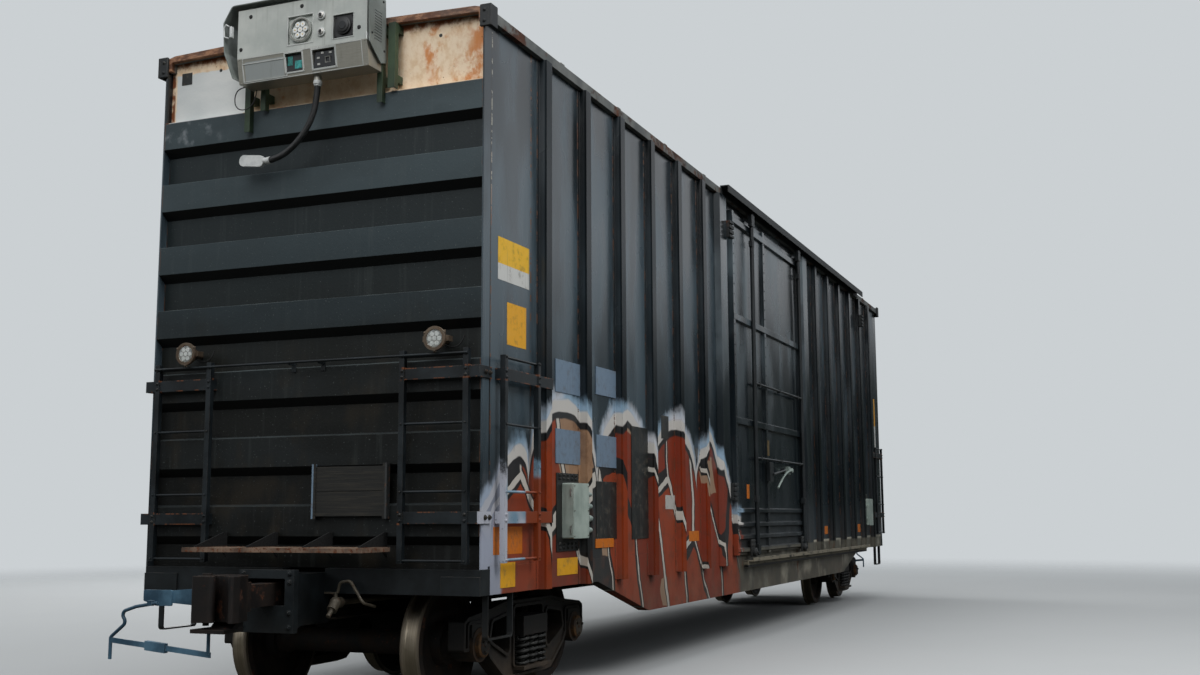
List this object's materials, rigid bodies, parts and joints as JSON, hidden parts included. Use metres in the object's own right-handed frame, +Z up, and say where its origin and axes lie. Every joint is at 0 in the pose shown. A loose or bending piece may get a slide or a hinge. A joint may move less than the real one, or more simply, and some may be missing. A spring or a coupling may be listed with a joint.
{
  "type": "railroad boxcar",
  "caption": "High steel boxcar with outside posts, plug doors, ribbed ends and fishbelly side sills, on swivelling two-axle trucks, with a sensor unit on one end.",
  "frame": {"origin": "midway between the trucks on the car's centre line, at the level of the wheel flanges' lowest points", "axes": "+X along the car, away from the end with the sensor unit; +Y to the car's left side; +Z up"},
  "size_m": [17.701, 3.21, 5.3648],
  "materials": {
    "side_paint": "weathered dark slate blue paint over steel sheet",
    "end_paint": "weathered dark blue-grey paint with a bare rusty band at the top",
    "door_paint": "dark weathered paint",
    "roof_steel": "galvanised steel with rust at the eaves",
    "track_steel": "black paint worn to rust on the running edges",
    "black_steel": "black painted steel",
    "underframe": "black paint under road dirt",
    "floor_steel": "worn steel floor",
    "rusty_casting": "bare casting with brown rust",
    "truck_casting": "cast steel under oily dirt",
    "spring_steel": "dark coil spring steel",
    "wheel_steel": "forged steel, bright on the tread and rusty on the plate",
    "platform_steel": "grating dulled with dust and rust",
    "lever_paint": "pale blue paint",
    "sensor_case": "light grey sheet metal",
    "sensor_frame": "olive grey paint",
    "hose_rubber": "black ribbed hose",
    "white_plastic": "white plastic",
    "lamp_glass": "clear lens over a silvered reflector",
    "board_wood": "weathered planks",
    "grey_box": "grey enclosure paint"
  },
  "bodies": {
    "carbody": {"centre_sill": "underframe", "strikers": "underframe", "coupler_a": "rusty_casting", "coupler_b": "rusty_casting", "body_bolsters": "underframe", "floor_beams": "underframe", "floor_stringers": "underframe", "floor_deck": "floor_steel", "roof": "roof_steel", "side_sill_right": "side_paint", "side_sill_left": "side_paint", "side_wall_a_right": "side_paint", "side_wall_b_right": "side_paint", "side_wall_a_left": "side_paint", "side_wall_b_left": "side_paint", "door_frame_right": "side_paint", "door_frame_left": "side_paint", "plug_door_right": "door_paint", "plug_door_left": "door_paint", "door_gear_right": "black_steel", "door_gear_left": "black_steel", "door_tracks_right": "track_steel", "door_tracks_left": "track_steel", "end_wall_a": "end_paint", "end_wall_b": "end_paint", "end_sills": "black_steel", "end_ladders_a": "black_steel", "end_ladders_b": "black_steel", "crossover_platform_a": "platform_steel", "crossover_platform_b": "platform_steel", "uncoupling_levers": "lever_paint", "side_ladders": "black_steel", "sill_steps": "black_steel", "air_reservoir": "underframe", "brake_valve": "rusty_casting", "brake_cylinder": "underframe", "brake_pipe": "underframe", "hand_brake_wheel": "black_steel", "hand_brake_gear": "black_steel", "sensor_housing": "sensor_case", "sensor_hood": "sensor_frame", "sensor_brackets": "sensor_frame", "sensor_hose": "hose_rubber", "hose_end": "white_plastic", "end_lamps": "lamp_glass", "placard_board": "board_wood", "junction_box": "grey_box"},
    "truck_a": {"side_frames_a": "truck_casting", "truck_bolster_a": "truck_casting", "truck_springs_a": "spring_steel", "brake_beams_a": "truck_casting"},
    "wheelset_a1": {"wheelset_a1": "wheel_steel"},
    "wheelset_a2": {"wheelset_a2": "wheel_steel"},
    "truck_b": {"side_frames_b": "truck_casting", "truck_bolster_b": "truck_casting", "truck_springs_b": "spring_steel", "brake_beams_b": "truck_casting"},
    "wheelset_b1": {"wheelset_b1": "wheel_steel"},
    "wheelset_b2": {"wheelset_b2": "wheel_steel"}
  },
  "joints": [
    {"name": "truck_a_swivel", "type": "hinge", "parent": "carbody", "child": "truck_a", "pos_m": [-6.14, 0, 0.665], "axis": [0, 0, 1], "range_deg": [-8, 8]},
    {"name": "wheelset_a1_roll", "type": "hinge", "parent": "truck_a", "child": "wheelset_a1", "pos_m": [-7.029, 0, 0.482], "axis": [0, 1, 0], "continuous": true},
    {"name": "wheelset_a2_roll", "type": "hinge", "parent": "truck_a", "child": "wheelset_a2", "pos_m": [-5.251, 0, 0.482], "axis": [0, 1, 0], "continuous": true},
    {"name": "truck_b_swivel", "type": "hinge", "parent": "carbody", "child": "truck_b", "pos_m": [6.14, 0, 0.665], "axis": [0, 0, 1], "range_deg": [-8, 8]},
    {"name": "wheelset_b1_roll", "type": "hinge", "parent": "truck_b", "child": "wheelset_b1", "pos_m": [5.251, 0, 0.482], "axis": [0, 1, 0], "continuous": true},
    {"name": "wheelset_b2_roll", "type": "hinge", "parent": "truck_b", "child": "wheelset_b2", "pos_m": [7.029, 0, 0.482], "axis": [0, 1, 0], "continuous": true}
  ]
}
